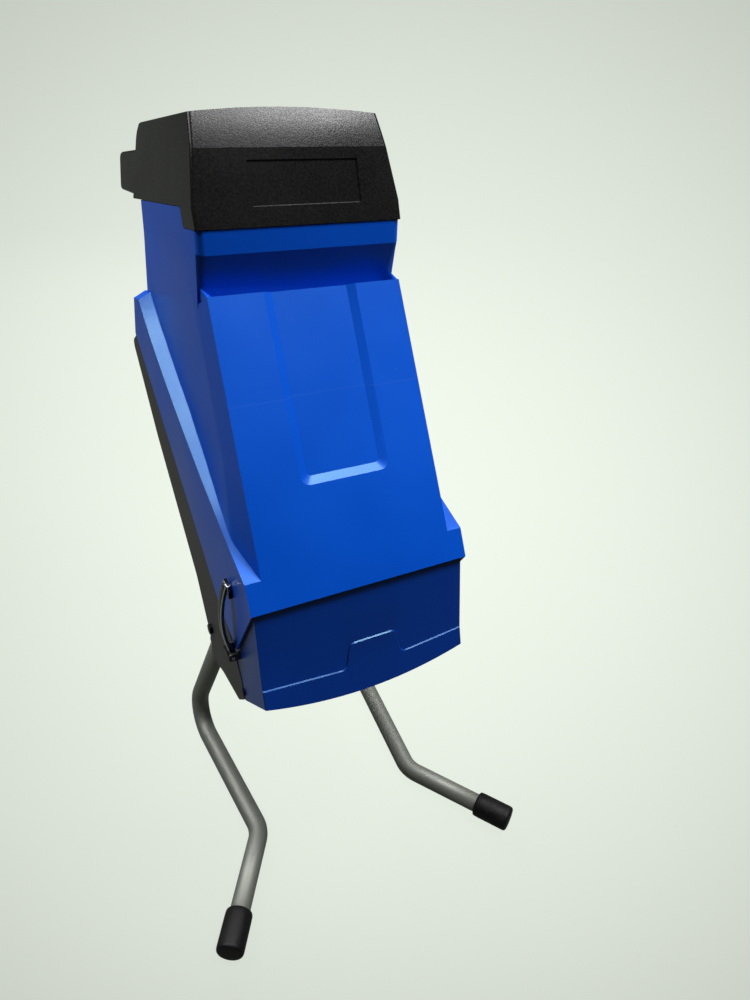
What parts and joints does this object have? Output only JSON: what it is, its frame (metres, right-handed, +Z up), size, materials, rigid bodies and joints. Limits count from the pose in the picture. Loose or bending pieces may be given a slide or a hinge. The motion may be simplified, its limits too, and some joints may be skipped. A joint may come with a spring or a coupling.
{
  "type": "garden shredder",
  "caption": "Electric garden shredder: hinged feed hopper with a hood and handle over a knife disc and motor, on bent tube legs that lie on the floor.",
  "frame": {"origin": "middle of the footprint, on the floor", "axes": "+Z up, -Y towards the sloped front panel, +X to the machine's left hand side as it faces out"},
  "size_m": [0.4262, 0.6553, 0.8541],
  "materials": {
    "blue_shell": "satin",
    "dark_blue": "satin",
    "black_plastic": "grained",
    "charcoal_plastic": "grained",
    "tube_paint": "satin",
    "cap_rubber": "matte",
    "steel": "brushed",
    "plate_metal": "cast",
    "green_button": "gloss",
    "red_button": "gloss",
    "amber_button": "gloss"
  },
  "bodies": {
    "base": {"lower_cover": "dark_blue", "safety_switch": "black_plastic", "brush_holders": "black_plastic", "rear_shell": "charcoal_plastic", "latch_mount_left": "charcoal_plastic", "latch_mount_right": "charcoal_plastic", "leg_left": "tube_paint", "leg_right": "tube_paint", "foot_cap_left": "cap_rubber", "foot_cap_right": "cap_rubber", "upper_bearing": "steel", "lower_bearing": "steel", "chip_shield": "steel", "motor_can": "steel", "latch_pin_left": "steel", "latch_pin_right": "steel", "hinge_pins": "steel", "leg_bolts": "steel", "cover_screws": "steel", "plate_screws": "steel", "motor_plate": "plate_metal"},
    "hopper": {"front_shell": "blue_shell", "hopper_hood": "black_plastic", "rear_handle": "black_plastic", "feed_funnel": "charcoal_plastic", "counter_knife": "steel", "keeper_left": "black_plastic", "keeper_right": "black_plastic", "switch_box": "black_plastic", "mains_inlet": "black_plastic"},
    "rotor": {"armature_shaft": "steel", "cooling_fan": "black_plastic", "knife_disc": "steel", "knives": "steel", "knife_screws": "steel", "disc_bolt": "steel"},
    "latch_left": {"latch_left": "black_plastic"},
    "latch_right": {"latch_right": "black_plastic"},
    "start_button": {"start_button": "green_button"},
    "stop_button": {"stop_button": "red_button"},
    "reset_button": {"reset_button": "amber_button"},
    "safety_plunger": {"safety_plunger": "amber_button"}
  },
  "joints": [
    {"name": "hopper_hinge", "type": "hinge", "parent": "base", "child": "hopper", "pos_m": [0, 0.23855, 0.56556], "axis": [-1, 0, 0], "range_deg": [0, 50]},
    {"name": "latch_left_swing", "type": "hinge", "parent": "base", "child": "latch_left", "pos_m": [-0.131, -0.1517, 0.326], "axis": [0, -1, 0], "range_deg": [0, 112]},
    {"name": "latch_right_swing", "type": "hinge", "parent": "base", "child": "latch_right", "pos_m": [0.131, -0.1517, 0.326], "axis": [0, 1, 0], "range_deg": [0, 112]},
    {"name": "rotor_spin", "type": "hinge", "parent": "base", "child": "rotor", "pos_m": [0, -0.1217, 0.36004], "axis": [0, -0.5329, 0.8462], "continuous": true},
    {"name": "start_press", "type": "slide", "parent": "hopper", "child": "start_button", "axis": [0, -0.9985, -0.0549], "range_m": [0, 0.003], "stiffness_N_per_m": 300},
    {"name": "stop_press", "type": "slide", "parent": "hopper", "child": "stop_button", "axis": [0, -0.9985, -0.0549], "range_m": [0, 0.003], "stiffness_N_per_m": 300},
    {"name": "reset_press", "type": "slide", "parent": "hopper", "child": "reset_button", "axis": [0, -0.9985, -0.0549], "range_m": [0, 0.003], "stiffness_N_per_m": 300},
    {"name": "plunger_rise", "type": "slide", "parent": "base", "child": "safety_plunger", "axis": [0, -0.5329, 0.8462], "range_m": [0, 0.004]}
  ],
  "couplings": [
    {"joint": "latch_left_swing", "follows": "hopper_hinge", "ratio": 2.2},
    {"joint": "latch_right_swing", "follows": "hopper_hinge", "ratio": 2.2},
    {"joint": "plunger_rise", "follows": "hopper_hinge", "m_per_rad": 0.0045}
  ]
}
